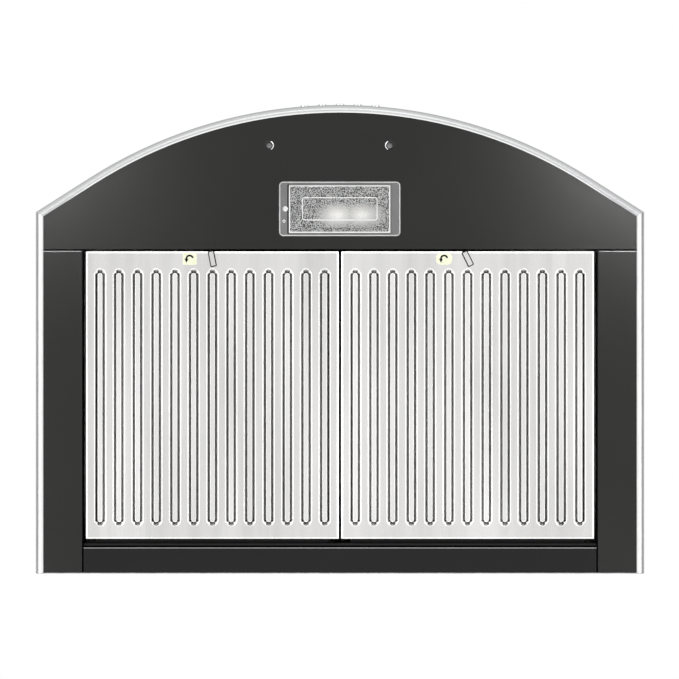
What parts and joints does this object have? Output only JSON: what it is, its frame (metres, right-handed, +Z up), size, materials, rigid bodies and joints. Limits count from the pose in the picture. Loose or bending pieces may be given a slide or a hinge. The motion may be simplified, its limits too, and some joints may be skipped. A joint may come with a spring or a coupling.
{
  "type": "chimney range hood",
  "caption": "Curved-front stainless chimney range hood with hinged baffle filters, lamp, push buttons, blower, damped outlet and telescoping cover.",
  "frame": {"origin": "on the wall plane, at the middle of the hood's lower back edge", "axes": "+X to the right of someone facing the hood, +Y into the wall, +Z up"},
  "size_m": [0.75, 0.5807, 0.7012],
  "materials": {
    "stainless": "brushed stainless sheet",
    "filter_steel": "bright pressed stainless sheet",
    "black_coat": "matt black powder coat",
    "zinc_sheet": "zinc-coated sheet",
    "screw_steel": "zinc-plated screw",
    "lens_plastic": "clear stippled plastic",
    "bulb_glass": "frosted glass, softly lit",
    "white_ceramic": "glazed ceramic",
    "button_metal": "satin metal",
    "black_plastic": "moulded black plastic",
    "grey_plastic": "moulded grey plastic",
    "motor_coat": "dark motor enamel"
  },
  "bodies": {
    "hood": {"front_band": "stainless", "left_band": "stainless", "right_band": "stainless", "canopy_front": "stainless", "canopy_left": "stainless", "canopy_right": "stainless", "back_panel": "zinc_sheet", "top_plate": "zinc_sheet", "front_panel": "black_coat", "left_rail": "black_coat", "right_rail": "black_coat", "rear_rail": "black_coat", "panel_screws": "screw_steel", "lamp_lens": "lens_plastic", "lens_screw": "screw_steel", "lamp_housing": "zinc_sheet", "lamp_socket": "white_ceramic", "lamp_bulb": "bulb_glass", "switch_block": "black_plastic", "blower_scroll": "black_coat", "blower_left_plate": "black_coat", "blower_right_plate": "black_coat", "motor": "motor_coat", "motor_bracket": "zinc_sheet", "capacitor": "grey_plastic", "outlet_collar": "zinc_sheet", "damper_pin": "screw_steel", "terminal_box": "grey_plastic", "cable_gland": "black_plastic", "lower_chimney": "stainless"},
    "filter_left": {"filter_left_face": "filter_steel", "filter_left_baffles": "filter_steel", "filter_left_frame": "filter_steel"},
    "filter_right": {"filter_right_face": "filter_steel", "filter_right_baffles": "filter_steel", "filter_right_frame": "filter_steel"},
    "latch_left": {"latch_left_handle": "filter_steel", "latch_left_tongue": "filter_steel"},
    "latch_right": {"latch_right_handle": "filter_steel", "latch_right_tongue": "filter_steel"},
    "rotor": {"impeller_hub": "zinc_sheet", "impeller_left_ring": "zinc_sheet", "impeller_right_ring": "zinc_sheet", "impeller_left_blades": "zinc_sheet", "impeller_right_blades": "zinc_sheet", "motor_shaft": "screw_steel"},
    "damper_front": {"damper_front_flap": "zinc_sheet"},
    "damper_rear": {"damper_rear_flap": "zinc_sheet"},
    "upper_sleeve": {"upper_chimney": "stainless", "chimney_bracket": "zinc_sheet", "chimney_screws": "screw_steel"},
    "button_off": {"button_off": "button_metal"},
    "button_low": {"button_low": "button_metal"},
    "button_medium": {"button_medium": "button_metal"},
    "button_high": {"button_high": "button_metal"},
    "button_lamp": {"button_lamp": "button_metal"}
  },
  "joints": [
    {"name": "filter_left_swing", "type": "hinge", "parent": "hood", "child": "filter_left", "pos_m": [-0.15725, -0.0348, 0.009], "axis": [1, 0, 0], "range_deg": [0, 65]},
    {"name": "latch_left_turn", "type": "hinge", "parent": "filter_left", "child": "latch_left", "pos_m": [-0.15725, -0.3875, 0.003], "axis": [0, 0, -1], "range_deg": [0, 90]},
    {"name": "filter_right_swing", "type": "hinge", "parent": "hood", "child": "filter_right", "pos_m": [0.15725, -0.0348, 0.009], "axis": [1, 0, 0], "range_deg": [0, 65]},
    {"name": "latch_right_turn", "type": "hinge", "parent": "filter_right", "child": "latch_right", "pos_m": [0.15725, -0.3875, 0.003], "axis": [0, 0, -1], "range_deg": [0, 90]},
    {"name": "button_off_press", "type": "slide", "parent": "hood", "child": "button_off", "axis": [0, 1, 0], "range_m": [0, 0.003], "stiffness_N_per_m": 400},
    {"name": "button_low_press", "type": "slide", "parent": "hood", "child": "button_low", "axis": [0, 1, 0], "range_m": [0, 0.003], "stiffness_N_per_m": 400},
    {"name": "button_medium_press", "type": "slide", "parent": "hood", "child": "button_medium", "axis": [0, 1, 0], "range_m": [0, 0.003], "stiffness_N_per_m": 400},
    {"name": "button_high_press", "type": "slide", "parent": "hood", "child": "button_high", "axis": [0, 1, 0], "range_m": [0, 0.003], "stiffness_N_per_m": 400},
    {"name": "button_lamp_press", "type": "slide", "parent": "hood", "child": "button_lamp", "axis": [0, 1, 0], "range_m": [0, 0.003], "stiffness_N_per_m": 400},
    {"name": "rotor_spin", "type": "hinge", "parent": "hood", "child": "rotor", "pos_m": [0, -0.206, 0.158], "axis": [1, 0, 0], "continuous": true},
    {"name": "damper_front_swing", "type": "hinge", "parent": "hood", "child": "damper_front", "pos_m": [0, -0.131, 0.301], "axis": [-1, 0, 0], "range_deg": [0, 80]},
    {"name": "damper_rear_swing", "type": "hinge", "parent": "hood", "child": "damper_rear", "pos_m": [0, -0.131, 0.301], "axis": [1, 0, 0], "range_deg": [0, 80]},
    {"name": "upper_sleeve_slide", "type": "slide", "parent": "hood", "child": "upper_sleeve", "axis": [0, 0, 1], "range_m": [0, 0.3]}
  ]
}
